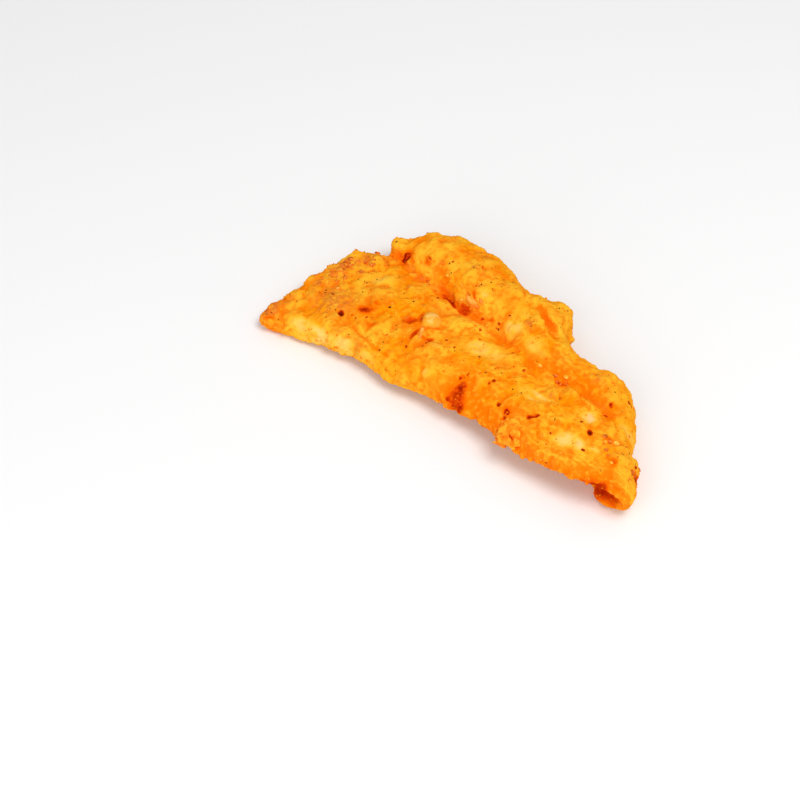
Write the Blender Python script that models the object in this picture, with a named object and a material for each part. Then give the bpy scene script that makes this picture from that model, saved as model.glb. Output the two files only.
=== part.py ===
"""A fried fish fillet in a thin floured crust, lying on a table with its skin side down.

The fillet is one solid. It starts as a flat blank in the outline of the cut fish, which gets its thickness
from two lobes of muscle with a groove between them. One corner of the tail is then folded under, as it
curls in the pan, and the crust's swells, crags and crumbs are raised on the surface.
X runs from the head end to the tail, Y from the thin belly side to the thick back, and Z is up.
"""

import math
import random

import bmesh
import bpy
import numpy as np
from mathutils import Matrix, Vector, noise
from mathutils.bvhtree import BVHTree

MM = 0.001

# Outline of the flat blank in millimetres, as (share of the length, x, y), from the head end to the tail.
BELLY_EDGE = ((0.0, -94, -39.5), (0.1, -76, -33), (0.22, -54, -26), (0.4, -18, -22.5), (0.65, 33, -17),
              (0.78, 60, -18.5), (0.88, 81, -16), (1.0, 105, -12))
BACK_EDGE = ((0.0, -74, 51), (0.11, -50, 63), (0.28, -17, 60.5), (0.38, 0, 56), (0.46, 14, 62.5), (0.56, 30, 45.5),
             (0.85, 77, 43), (1.0, 104, 31))
HEAD_BULGE = 7.5
HEAD_BULGE_LEAN = 1.35
HEAD_NOTCH = 6.5
TAIL_BULGE = 10
CORNER_ROUNDING = 6
CORNER_SHARPNESS = 8

# The groove between the lobes, as (share of the length, y), and its depth and width.
GROOVE_LINE = ((0.0, 34), (0.06, 31), (0.15, 30), (0.23, 29.5), (0.3, 26), (0.4, 25.5), (0.5, 22.5), (0.8, 20.5),
               (1.0, 15))
GROOVE_DEPTH = ((0.0, 5), (0.3, 5.5), (0.6, 3.5), (0.85, 2), (1.0, 0.5))
GROOVE_WIDTH = 4

# Heights along the length in millimetres, as (share of the length, height).
BELLY_RIM_HEIGHT = ((0.0, 2), (0.3, 6), (0.7, 12), (1.0, 17.5))
BACK_RIM_HEIGHT = ((0.0, 2.2), (0.3, 7), (0.7, 12), (1.0, 17.5))
BELLY_LOBE = ((0.0, 4), (0.2, 7.5), (0.6, 7.5), (0.85, 5.5), (1.0, 2.5))
BACK_LOBE = ((0.0, 8), (0.15, 13.5), (0.4, 12.5), (0.7, 8.5), (1.0, 3))
RIM_THICKNESS = 9
TAIL_RIM_THICKNESS = 5
RIM_ROUNDING = 6
RIM_WALL_SHARE = 0.35
FLOOR_HEIGHT = -1.5

# The tail's outer corner is folded under about a slanting line.
FOLD_ANGLE = math.radians(42)
FOLD_START = 67
FOLD_RADIUS = 7
FOLD_TURN = math.radians(172)

# Grid of the blank, which is closer near the rims, and the share of its triangles that is kept.
CELLS_ALONG = 100
CELLS_ACROSS = 50
GRID_CROWDING = math.radians(62)
SMOOTHING_ROUNDS = 2
KEPT_SHARE = 0.4

# Relief of the crust, as (width, height) of its swells and bumps.
SWELLS = 17, 1.5
BUMPS = 7, 0.9
UNDERSIDE_RELIEF = 0.6

# The slot in the back lobe, where a flake of muscle has come apart: its two ends, half width and depth.
SLOT_START, SLOT_END = Vector((9.5, 45.5)), Vector((25.5, 38.5))
SLOT_WIDTH = 1.7
SLOT_DEPTH = 2.6

# The blister on the belly lobe, where steam has lifted the crust: its middle, half width and height.
BLISTER = Vector((-22, 8))
BLISTER_WIDTH = 4
BLISTER_HEIGHT = 2.4

# Crumbs of batter, as (x, y, z, length, width, heading in degrees): slivers, beads, a crag at the belly edge,
# and scabs on the head's edge. More are drawn along the rim.
CRUMBS = (
    (-19.5, -0.5, 21, 5.5, 2.2, -46),
    (-18, 29.5, 21, 8, 2.6, -60),
    (46.5, 20.5, 23, 2.4, 2.2, 0),
    (73, 8, 22, 2.8, 2.4, 0),
    (43.5, -13, 20, 4.4, 3.4, 60),
    (46, -15.5, 19, 4.2, 3.6, 10),
    (47, -18.5, 16.5, 5, 3.8, 45),
    (50.5, -18.5, 16, 3.8, 3, 0),
    (52.5, -19, 12.5, 4.2, 3.2, 70),
    (57, -19, 12, 3.2, 2.6, 0),
    (61, -19.5, 12, 3.4, 2.4, 0),
    (-81, 8, 12, 5, 3.2, 80),
    (-83, 2.5, 11, 3.6, 2.8, 30),
    (-78, 14, 13, 4.4, 3, 50),
)
RIM_CRUMB_COUNT = 28
RIM_CRUMB_SIZE = 2.4, 5
CRUMB_FLATNESS = 0.75
CRUMB_SUNK_SHARE = 0.35
CRUMB_ROUGHNESS = 0.4
SMALL_CRUMB = 3.7
WELD_DISTANCE = 0.01

CRUST_COLOUR = (0.83, 0.36, 0.05, 1)
CRUST_ROUGHNESS = 0.6


def profile(points, share):
    """Smooth values at shares of the length, one row for each number that follows a point's share."""
    stations = np.array([point[0] for point in points], float)
    values = np.array([point[1:] for point in points], float)
    slopes = np.gradient(values, stations, axis=0)
    index = np.clip(np.searchsorted(stations, share) - 1, 0, len(stations) - 2)
    step = (stations[index + 1] - stations[index])[:, None]
    t = (share - stations[index])[:, None] / step
    smooth = (
        values[index] * (2 * t**3 - 3 * t**2 + 1)
        + slopes[index] * step * (t**3 - 2 * t**2 + t)
        + values[index + 1] * (3 * t**2 - 2 * t**3)
        + slopes[index + 1] * step * (t**3 - t**2)
    )
    return smooth.T


def bell(distance, width):
    """A smooth hump that is 1 in its middle and almost 0 at twice its width."""
    return np.exp(-((distance / width) ** 2))


def width_and_groove(along):
    """Width of the blank, and the share of it at which the groove lies."""
    belly = profile(BELLY_EDGE, along)[1]
    width = profile(BACK_EDGE, along)[1] - belly
    return width, (profile(GROOVE_LINE, along)[0] - belly) / width


def plan(along, across):
    """Places of the blank's mid surface in plan, between its two long edges."""
    belly = profile(BELLY_EDGE, along)
    back = profile(BACK_EDGE, along)
    x, y = belly + (back - belly) * across
    width, groove = width_and_groove(along)
    notch = HEAD_NOTCH * bell((across - groove) * width, GROOVE_WIDTH)
    head_bow = HEAD_BULGE * np.sin(np.pi * across**HEAD_BULGE_LEAN) - notch
    tail_bow = TAIL_BULGE * np.sin(np.pi * across)
    x = x - head_bow * (1 - along) ** 6 + tail_bow * along**6
    corner = CORNER_ROUNDING * np.abs((2 * along - 1) * (2 * across - 1)) ** CORNER_SHARPNESS
    return x - np.sign(along - 0.5) * corner, y - np.sign(across - 0.5) * corner


def rim_rounding(along, across):
    """Share of the full thickness, which falls along a quarter circle to the rim's wall on the outline."""
    width = width_and_groove(along)[0]
    length = BACK_EDGE[-1][1] - BELLY_EDGE[0][1]
    share = 1.0
    for distance in (across * width, (1 - across) * width, along * length, (1 - along) * length):
        near = np.clip(distance / RIM_ROUNDING, 0, 1)
        share = share * np.sqrt(1 - (1 - near) ** 2)
    return RIM_WALL_SHARE + (1 - RIM_WALL_SHARE) * share


def section(along, across):
    """Mid height, and how far the top stands above it and the underside hangs below it."""
    belly_rim, = profile(BELLY_RIM_HEIGHT, along)
    back_rim, = profile(BACK_RIM_HEIGHT, along)
    middle = belly_rim * (1 - across) + back_rim * across
    rim = RIM_THICKNESS + (TAIL_RIM_THICKNESS - RIM_THICKNESS) * along
    width, groove = width_and_groove(along)
    rise = profile(BELLY_LOBE, along)[0] * bell(across - groove * 0.5, 0.33)
    rise += profile(BACK_LOBE, along)[0] * bell(across - (groove + 1) / 2 - 0.02, 0.24)
    rise -= profile(GROOVE_DEPTH, along)[0] * bell((across - groove) * width, GROOVE_WIDTH)
    rounding = rim_rounding(along, across)
    return middle, (rim / 2 + rise) * rounding, rim / 2 * rounding


def fold_tail(x, y, z):
    """Rolls what lies past the fold line round and back under the fillet."""
    outward = math.cos(FOLD_ANGLE), math.sin(FOLD_ANGLE)
    fold_height = (BELLY_RIM_HEIGHT[-1][1] + BACK_RIM_HEIGHT[-1][1]) / 2
    beyond = np.maximum(x * outward[0] + y * outward[1] - FOLD_START, 0)
    turn = np.minimum(beyond / FOLD_RADIUS, FOLD_TURN)
    straight = beyond - FOLD_RADIUS * turn
    radius = FOLD_RADIUS + z - fold_height
    reach = radius * np.sin(turn) + straight * np.cos(turn) - beyond
    folded = fold_height - FOLD_RADIUS + radius * np.cos(turn) - straight * np.sin(turn)
    return x + outward[0] * reach, y + outward[1] * reach, folded


def surface(along, across, underside):
    """Places on the smooth fillet's top or underside."""
    x, y = plan(along, across)
    middle, top, under = section(along, across)
    return fold_tail(x, y, np.where(underside, middle - under, middle + top))


def crowded(place):
    """Moves even grid places, from -1 to 1, towards the rims, and gives them from 0 to 1."""
    return (np.sin(place * GRID_CROWDING) / math.sin(GRID_CROWDING) + 1) / 2


def sort_by_corners(shape):
    """Gives edges and faces a fixed order, which an extrusion doesn't, so that each run makes the same fillet."""
    count = len(shape.verts)
    shape.verts.index_update()
    for items in (shape.edges, shape.faces):
        items.sort(key=lambda item: item.verts[0].index * count + item.verts[1].index)


def build_blank():
    """The smooth fillet: a grid extruded into a flat box, whose corners are moved to the fillet's surface."""
    shape = bmesh.new()
    bmesh.ops.create_grid(shape, x_segments=CELLS_ALONG, y_segments=CELLS_ACROSS, size=1)
    made = bmesh.ops.extrude_face_region(shape, geom=shape.faces[:])
    lower = {item for item in made["geom"] if isinstance(item, bmesh.types.BMVert)}
    sort_by_corners(shape)
    along = crowded(np.array([corner.co.x for corner in shape.verts]))
    across = crowded(np.array([corner.co.y for corner in shape.verts]))
    underside = np.array([corner in lower for corner in shape.verts])
    for corner, place in zip(shape.verts, np.transpose(surface(along, across, underside))):
        corner.co = place
    for _ in range(SMOOTHING_ROUNDS):
        bmesh.ops.smooth_vert(shape, verts=shape.verts, factor=0.5, use_axis_x=True, use_axis_y=True, use_axis_z=True)
    bmesh.ops.recalc_face_normals(shape, faces=shape.faces)
    return shape, lower


def slot_depth(point):
    """Depth of the open flake's slot at a point of the top."""
    run = SLOT_END - SLOT_START
    share = (point.xy - SLOT_START).dot(run) / run.length_squared
    nearest = SLOT_START + run * min(max(share, 0), 1)
    return SLOT_DEPTH * bell((point.xy - nearest).length, SLOT_WIDTH)


def raise_relief(shape, lower):
    """Swells and bumps of the crust over the whole fillet, and the slot in its back."""
    shape.normal_update()
    places = []
    for corner in shape.verts:
        relief = sum(height * noise.noise(corner.co / width) for width, height in (SWELLS, BUMPS))
        if corner in lower:
            relief *= UNDERSIDE_RELIEF
        elif corner.normal.z > 0:
            relief += BLISTER_HEIGHT * bell((corner.co.xy - BLISTER).length, BLISTER_WIDTH)
            relief -= slot_depth(corner.co)
        places.append(corner.co + corner.normal * relief)
    for corner, place in zip(shape.verts, places):
        corner.co = place


def rest_on_floor(shape):
    """Flattens what would sink below the table, so that the fillet rests on flat spots."""
    for corner in shape.verts:
        corner.co.z = max(corner.co.z, FLOOR_HEIGHT)


def rim_spots(draws):
    """Random places on the fillet's outline, as arrays of its two shares."""
    along, across = [], []
    for _ in range(RIM_CRUMB_COUNT):
        place, edge = draws.random(), draws.choice(("belly", "back", "head"))
        along.append(0.0 if edge == "head" else place)
        across.append(place if edge == "head" else float(edge == "back"))
    return np.array(along), np.array(across)


def crumb_rows(draws):
    """All crumbs, the named ones and those drawn along the rim."""
    rows = [(Vector((x, y, z)), length, width, math.radians(heading)) for x, y, z, length, width, heading in CRUMBS]
    along, across = rim_spots(draws)
    for place in np.transpose(surface(along, across, np.zeros(len(along), bool))):
        length = draws.uniform(*RIM_CRUMB_SIZE)
        rows.append((Vector(place), length, length * draws.uniform(0.6, 0.9), draws.uniform(0, math.tau)))
    return rows


def build_crumb(spot, normal, length, width, heading, draws):
    """A knobbly blob that sits partly sunk in the crust, with its length along a heading in plan."""
    crumb = bmesh.new()
    bmesh.ops.create_icosphere(crumb, subdivisions=1 if length < SMALL_CRUMB else 2, radius=0.5)
    seed = Vector((draws.uniform(0, 99), 0, 0))
    for corner in crumb.verts:
        corner.co *= 1 + CRUMB_ROUGHNESS * noise.noise(corner.co * 3 + seed)
    height = width * CRUMB_FLATNESS
    side = normal.cross((math.cos(heading), math.sin(heading), 0)).normalized()
    turned = Matrix((side.cross(normal), side, normal)).transposed().to_4x4()
    place = spot + normal * height * (0.5 - CRUMB_SUNK_SHARE)
    crumb.transform(Matrix.Translation(place) @ turned @ Matrix.Diagonal((length, width, height, 1)))
    return crumb


def make_object(name, shape, collection):
    mesh = bpy.data.meshes.new(name)
    shape.transform(Matrix.Scale(MM, 4))
    shape.to_mesh(mesh)
    shape.free()
    made = bpy.data.objects.new(name, mesh)
    collection.objects.link(made)
    return made


def apply_modifiers(item):
    """Gives an object its modified mesh, without the near-double points that a union leaves."""
    evaluated = item.evaluated_get(bpy.context.evaluated_depsgraph_get())
    mesh = bpy.data.meshes.new_from_object(evaluated)
    item.modifiers.clear()
    item.data = mesh
    shape = bmesh.new()
    shape.from_mesh(mesh)
    bmesh.ops.remove_doubles(shape, verts=shape.verts, dist=WELD_DISTANCE * MM)
    shape.to_mesh(mesh)
    shape.free()


def centre_on_floor(item):
    """Puts the middle of the fillet's box over the origin, with the floor at height 0."""
    corners = [vertex.co for vertex in item.data.vertices]
    middle = [(min(corner[axis] for corner in corners) + max(corner[axis] for corner in corners)) / 2
              for axis in (0, 1)]
    item.data.transform(Matrix.Translation((-middle[0], -middle[1], -FLOOR_HEIGHT * MM)))


def crust_material():
    material = bpy.data.materials.new("fried crust")
    material.use_nodes = True
    shader = material.node_tree.nodes["Principled BSDF"]
    shader.inputs["Base Color"].default_value = CRUST_COLOUR
    shader.inputs["Roughness"].default_value = CRUST_ROUGHNESS
    return material


def main():
    for item in list(bpy.data.objects):
        bpy.data.objects.remove(item)
    fish = bpy.data.collections.new("fried_fish_fillet")
    crumbs = bpy.data.collections.new("crumbs")
    for collection in (fish, crumbs):
        bpy.context.scene.collection.children.link(collection)

    shape, lower = build_blank()
    raise_relief(shape, lower)
    tree = BVHTree.FromBMesh(shape)
    draws = random.Random(1)
    for number, (spot, *form) in enumerate(crumb_rows(draws)):
        nearest, normal = tree.find_nearest(spot)[:2]
        make_object(f"crumb_{number:02d}", build_crumb(nearest, normal, *form, draws), crumbs)
    rest_on_floor(shape)
    fillet = make_object("fillet", shape, fish)

    thinning = fillet.modifiers.new("Thinning", "DECIMATE")
    thinning.ratio = KEPT_SHARE
    union = fillet.modifiers.new("Crumbs", "BOOLEAN")
    union.operation = "UNION"
    union.operand_type = "COLLECTION"
    union.solver = "MANIFOLD"
    union.collection = crumbs
    apply_modifiers(fillet)
    for crumb in list(crumbs.objects):
        bpy.data.objects.remove(crumb)

    centre_on_floor(fillet)
    fillet.data.shade_smooth()
    fillet.data.materials.append(crust_material())


main()
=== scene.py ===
"""A fried fish fillet in a floured, peppered crust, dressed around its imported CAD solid."""
import math

import bmesh
import bpy
import numpy as np
from mathutils import Matrix, Vector, noise


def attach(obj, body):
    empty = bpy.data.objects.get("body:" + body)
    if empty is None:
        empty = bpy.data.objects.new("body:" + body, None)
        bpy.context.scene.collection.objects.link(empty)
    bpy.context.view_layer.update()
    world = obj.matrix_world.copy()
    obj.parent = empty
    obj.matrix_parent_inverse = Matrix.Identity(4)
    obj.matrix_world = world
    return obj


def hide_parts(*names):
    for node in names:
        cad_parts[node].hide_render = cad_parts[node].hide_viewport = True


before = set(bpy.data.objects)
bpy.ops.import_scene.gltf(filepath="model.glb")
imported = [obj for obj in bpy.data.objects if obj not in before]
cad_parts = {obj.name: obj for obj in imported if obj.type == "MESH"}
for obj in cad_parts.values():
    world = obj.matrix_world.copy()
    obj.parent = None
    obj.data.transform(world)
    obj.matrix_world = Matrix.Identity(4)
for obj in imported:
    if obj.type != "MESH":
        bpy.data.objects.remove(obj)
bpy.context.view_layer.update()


# The fried crust. The wet fish is pressed into seasoned flour and fried, so a thin skin of dough sets over
# the flesh, swells where steam lifts it and draws in between the flakes of the muscle. It is remeshed from
# the solid, relaxed, and then raised and sunk along its own normals.
MM = 0.001
MERGE_DISTANCE = 0.002 * MM
CRUST_CELL = 0.67 * MM
CRUST_RELAXING = 5


def deselect_all():
    bpy.ops.object.select_all(action="DESELECT")


def select_only(item):
    deselect_all()
    item.select_set(True)
    bpy.context.view_layer.objects.active = item


def apply_all_modifiers(item):
    select_only(item)
    for modifier in list(item.modifiers):
        bpy.ops.object.modifier_apply(modifier=modifier.name)


crust = bpy.data.objects.new("fried_crust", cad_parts["fillet"].data.copy())
bpy.context.scene.collection.objects.link(crust)
select_only(crust)
bpy.ops.object.mode_set(mode="EDIT")
bpy.ops.mesh.select_all(action="SELECT")
bpy.ops.mesh.remove_doubles(threshold=MERGE_DISTANCE)
bpy.ops.object.mode_set(mode="OBJECT")
remesh = crust.modifiers.new("Even skin", "REMESH")
remesh.mode = "VOXEL"
remesh.voxel_size = CRUST_CELL
relax = crust.modifiers.new("Relaxed facets", "SMOOTH")
relax.factor = 0.5
relax.iterations = CRUST_RELAXING
apply_all_modifiers(crust)


def mesh_points(mesh):
    """The mesh's points in millimetres."""
    values = np.empty(len(mesh.vertices) * 3, np.float32)
    mesh.vertices.foreach_get("co", values)
    return values.reshape(-1, 3).astype(float) / MM


def mesh_normals(mesh):
    values = np.empty(len(mesh.vertices) * 3, np.float32)
    mesh.vertex_normals.foreach_get("vector", values)
    return values.reshape(-1, 3).astype(float)


def smoothed(mesh, values, rounds):
    """Values of the mesh's points, averaged with their neighbours' so many times."""
    ends = np.empty(len(mesh.edges) * 2, np.int32)
    mesh.edges.foreach_get("vertices", ends)
    a, b = ends.reshape(-1, 2).T
    count = np.bincount(np.r_[a, b], minlength=len(values))[:, None]
    for _ in range(rounds):
        around = [np.bincount(a, column[b], len(values)) + np.bincount(b, column[a], len(values))
                  for column in values.T]
        values = (values + np.transpose(around) / count) / 2
    return values


# Each seed moves the noise this far along, in its own units, so that no two patterns look alike.
SEED_STEP = 7.31
# Keeps logarithms finite far away from an ellipse.
TINY = 1e-12


def soft_noise(points, widths, seed):
    """Noise from about -1 to 1 with lumps about as wide as given, in millimetres, along X, Y and Z."""
    places = points / np.array(widths) + seed * SEED_STEP
    return np.array([noise.noise(place) for place in places])


def cobbles(points, widths, seed):
    """Rounded lumps set close together: 1 on a lump's crown, falling softly to 0 between two lumps."""
    places = points / np.array(widths) + seed * SEED_STEP
    values = np.empty(len(points))
    for number, place in enumerate(places):
        bent = Vector(place) + noise.noise_vector(place * 0.9) * 0.3
        nearest, second = noise.voronoi(bent)[0][:2]
        values[number] = second - nearest
    share = np.clip(values * 1.6, 0, 1)
    return share * share * (3 - 2 * share)


def ellipse(points, x, y, along, across, turn):
    """1 in the middle of an ellipse seen from above, falling softly to almost 0 at twice its half widths."""
    c, s = math.cos(math.radians(turn)), math.sin(math.radians(turn))
    dx, dy = points[:, 0] - x, points[:, 1] - y
    return np.exp(-(((dx * c + dy * s) / along) ** 2) - ((dy * c - dx * s) / across) ** 2)


def dome(points, x, y, along, across, turn):
    """As ellipse, with a broad crown and a steep side at the half widths."""
    return np.exp(-np.log(np.maximum(ellipse(points, x, y, along, across, turn), TINY)) ** 2 * 0.7)


def trench(points, line):
    """Depth of a furrow along a line of (x, y, depth, half width)."""
    depths = np.zeros(len(points))
    for (x0, y0, d0, w0), (x1, y1, d1, w1) in zip(line, line[1:]):
        run = np.array((x1 - x0, y1 - y0))
        share = np.clip(((points[:, :2] - (x0, y0)) @ run) / (run @ run), 0, 1)
        distance = np.hypot(points[:, 0] - x0 - run[0] * share, points[:, 1] - y0 - run[1] * share)
        width = w0 + (w1 - w0) * share
        depths = np.maximum(depths, (d0 + (d1 - d0) * share) * np.exp(-((distance / width) ** 2)))
    return depths


# noise_vector takes a new seed each time that Blender starts, unless one is set.
NOISE_SEED = 3
noise.seed_set(NOISE_SEED)
base = mesh_points(crust.data)
normals = mesh_normals(crust.data)
on_top = np.clip(normals[:, 2] * 2.5 + 0.2, 0, 1)
pillows = cobbles(base, (9.5, 11, 9), 1)
lumps = cobbles(base, (4.2, 4.8, 4.2), 2)
swells = soft_noise(base, (15, 19, 15), 3)
ripples = soft_noise(base, (2.8, 2.8, 2.8), 4)
grain = soft_noise(base, (1.4, 1.4, 1.4), 5)
wrinkles = soft_noise(base, (8, 1.7, 8), 6) * (0.2 + ellipse(base, 62, -26, 22, 9, 10))
PILLOW_HEIGHT, LUMP_HEIGHT, SWELL_HEIGHT = 1.1, 0.45, 0.8
RIPPLE_HEIGHT, GRAIN_HEIGHT, WRINKLE_HEIGHT = 0.3, 0.2, 0.4
relief = PILLOW_HEIGHT * (pillows - 0.5) + LUMP_HEIGHT * (lumps - 0.5) + SWELL_HEIGHT * swells
relief += RIPPLE_HEIGHT * ripples + GRAIN_HEIGHT * grain + WRINKLE_HEIGHT * wrinkles

# The skin is tight and smooth on the largest blister.
BLISTER_SMOOTHNESS = 0.75
relief *= 1 - BLISTER_SMOOTHNESS * ellipse(base, -29.7, -5.9, 5.4, 4.8, -46)

# Furrows of the top, as lines of (x, y, depth, half width) in millimetres: the groove between the lobes, the
# crease beside the belly edge, the flake's slot, a crack beside the blister, and the valley by the tail.
FURROWS = (
    ((-82, 19.5, 1.0, 1.6), (-76, 18.6, 2.6, 1.5), (-70, 17.0, 3.0, 1.4), (-64.5, 15.6, 2.2, 1.3),
     (-60, 15.2, 0.5, 1.5), (-56, 15.2, 1.6, 1.2), (-50.8, 15.0, 0.6, 1.2), (-44, 14.8, 2.0, 1.1),
     (-37.3, 13.5, 3.2, 1.1), (-30.5, 11.3, 1.8, 1.1), (-22.6, 11.6, 0.9, 1.4), (-13, 10.4, 0.4, 1.4),
     (-2, 9.6, 0.6, 1.3), (7, 8.0, 0.8, 1.3), (17.7, 7.6, 0.3, 1.5)),
    ((-60, -28.2, 0.5, 1.0), (-51.4, -31.0, 1.0, 1.0), (-42.7, -32.4, 1.1, 1.0), (-35.8, -32.8, 1.0, 1.0),
     (-27.8, -33.0, 0.6, 1.0), (-17.3, -33.2, 0.3, 1.0)),
    ((4, 30.2, 0.4, 0.8), (8, 28.4, 1.3, 0.8), (12, 26.8, 1.4, 0.8), (16, 25.4, 0.5, 0.8)),
    ((-42.5, -12.0, 0.8, 0.9), (-39.6, -13.2, 1.3, 0.8), (-36.6, -13.0, 0.8, 0.8)),
    ((38, 9.0, 0.3, 1.6), (47, 7.2, 0.9, 1.7), (56, 6.2, 1.2, 1.7), (64, 5.2, 1.0, 1.6), (71, 4.0, 0.4, 1.6)),
)
creases = [trench(base, line) * on_top for line in FURROWS]
relief -= sum(creases)

# Towards the tail thick flour fills the groove, and the belly stands above it in a lip, as FURROWS.
RIDGES = (
    ((-24, 11.6, 0.0, 3.4), (-8, 9.8, 0.9, 3.6), (12, 7.8, 1.1, 4.0), (36, 7.0, 1.1, 4.2), (60, 6, 0.6, 4.2)),
    ((30, 5.4, 0.2, 1.5), (38, 4.6, 0.7, 1.5), (48, 3.2, 0.9, 1.5), (56, 2.0, 1.0, 1.5), (66, 0.2, 0.5, 1.5)),
)
for line in RIDGES:
    relief += trench(base, line) * on_top

# Pits and lumps, as (x, y, half length, half width, turn, height) in millimetres and degrees.
KNOBS = (
    (-66.7, -27.4, 1.2, 1.2, 0, -1.8),
    (-70.8, 20.5, 2.6, 2.4, 20, -1.4),
    (-29.7, -5.9, 6.4, 6.0, 0, -0.8),
    (-22.6, 0.6, 5.4, 4.6, 0, 1.0),
    (-37.2, -12.4, 3.6, 2.2, 40, -0.6),
    (-29.5, -17.0, 3.6, 1.3, 97, -0.5),
    (-22.4, -16.2, 2.0, 1.6, 30, -0.9),
    (-25.5, 11.4, 3.2, 1.6, -14, -0.8),
    (-58.6, -19.2, 2.0, 1.6, 30, -0.5),
    (31.8, -23.3, 1.6, 1.6, 0, -1.0),
    (26.0, -22.7, 1.1, 0.9, 0, -0.8),
    (42.9, -18.9, 2.8, 0.9, 44, -0.9),
    (67.6, -10.1, 1.0, 1.0, 0, -1.0),
    (62.9, 9.6, 0.9, 1.3, 30, -0.9),
    (7.0, -28.0, 2.2, 1.6, 40, -0.9),
    (11.5, -30.5, 1.6, 1.4, 0, -0.8),
    (37.5, 6.0, 2.0, 1.4, 0, -0.8),
)
for *knob, height in KNOBS:
    relief += height * ellipse(base, *knob) * on_top

# Blisters, where steam has lifted the skin, as KNOBS.
BLISTERS = (
    (-29.7, -5.9, 4.9, 4.2, -46, 1.9),
    (-17.0, -16.9, 3.3, 1.6, 10, 1.1),
    (-39.8, -11.7, 1.8, 1.1, 40, 0.8),
    (-16.3, 4.1, 2.6, 1.4, 60, 0.7),
    (-70.7, 20.6, 0.9, 0.8, 0, 1.0),
    (31.8, -23.3, 0.8, 0.8, 0, 0.8),
    (-53.0, 4.7, 1.9, 1.5, 0, 0.9),
    (-60.6, 14.0, 2.2, 1.5, 20, 1.1),
    (-55.8, 15.7, 1.6, 1.3, 20, 0.9),
    (-10.5, -30.0, 2.2, 1.8, 0, 0.9),
    (-58.0, 22.0, 1.8, 1.4, 0, 0.7),
    (2.4, 15.1, 2.6, 2.0, 20, 0.8),
    (-3.2, 17.3, 2.0, 1.6, 0, 0.7),
    (-2.4, -7.5, 2.4, 1.8, 40, 0.7),
    (-3.6, 0.5, 2.0, 1.6, 0, 0.6),
    (26.0, -1.1, 2.0, 1.6, 0, 0.6),
)
swollen = np.zeros(len(base))
for *blister, height in BLISTERS:
    rise = height * dome(base, *blister) * on_top
    relief += rise
    swollen = np.maximum(swollen, rise)

# The head end's outer corner is rounded and plump.
NOSE = np.array((-97.0, -46.5, 6.0))
NOSE_HEIGHT = 1.6
NOSE_RADIUS = 7.0
from_nose = np.linalg.norm((base - NOSE) * (1.0, 1.0, 0.6), axis=1)
relief += NOSE_HEIGHT * np.exp(-((from_nose / NOSE_RADIUS) ** 2))

# The relief fades out just above the table, and what stands above the solid's crown is flattened.
FADE_START = 0.15
FADE_DEPTH = 1.6
LEVEL_CROWN = 27.0
CROWN_FLATTENING = 0.6
relief *= np.clip((base[:, 2] - FADE_START) / FADE_DEPTH, 0, 1)
points = base + normals * relief[:, None]
points[:, 2] = np.maximum(points[:, 2], 0.0)
points[:, 2] -= CROWN_FLATTENING * np.maximum(points[:, 2] - LEVEL_CROWN, 0.0)
crust.data.vertices.foreach_set("co", (points * MM).astype(np.float32).ravel())
crust.data.update()
crust.data.shade_smooth()


def store_mask(item, name, values):
    layer = item.data.attributes.new(name, "FLOAT", "POINT")
    layer.data.foreach_set("value", values.astype(np.float32))


# How far each point lies under the smoothed surface round it, in millimetres: above 0 in a hollow.
normals = mesh_normals(crust.data)
seen_from_above = np.clip(normals[:, 2] * 2.5 + 1.0, 0, 1)
FINE_ROUNDS, MIDDLE_ROUNDS, BROAD_ROUNDS = 8, 16, 120
fine_level = smoothed(crust.data, points, FINE_ROUNDS)
middle_level = smoothed(crust.data, fine_level, MIDDLE_ROUNDS)
broad_level = smoothed(crust.data, middle_level, BROAD_ROUNDS)
hollow_fine = ((fine_level - points) * normals).sum(1)
hollow_broad = ((broad_level - middle_level) * normals).sum(1)
store_mask(crust, "hollow_fine", hollow_fine)
store_mask(crust, "hollow_broad", hollow_broad)

# Where the crust is burnt in round pits and rings, charred, scorched, stained by oil, pale with flour or
# browned, as rows of (x, y, half length, half width, turn, share). Three of the charred rows are painted
# shadow in the groove.
PITS = (
    (-66.7, -27.4, 1.9, 1.45, -46, 1.0),
    (67.6, -10.1, 1.7, 1.2, -46, 1.0),
    (26.2, -22.6, 1.4, 1.0, -46, 0.7),
    (16.6, -15.2, 1.5, 1.1, -46, 0.65),
    (15.6, -17.2, 0.9, 0.7, -46, 0.65),
    (71.3, -18.8, 1.0, 0.7, 0, 0.95),
    (66.5, 18.6, 1.2, 1.0, 0, 0.8),
    (94.2, -10.0, 1.3, 1.0, 0, 0.8),
)
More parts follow.
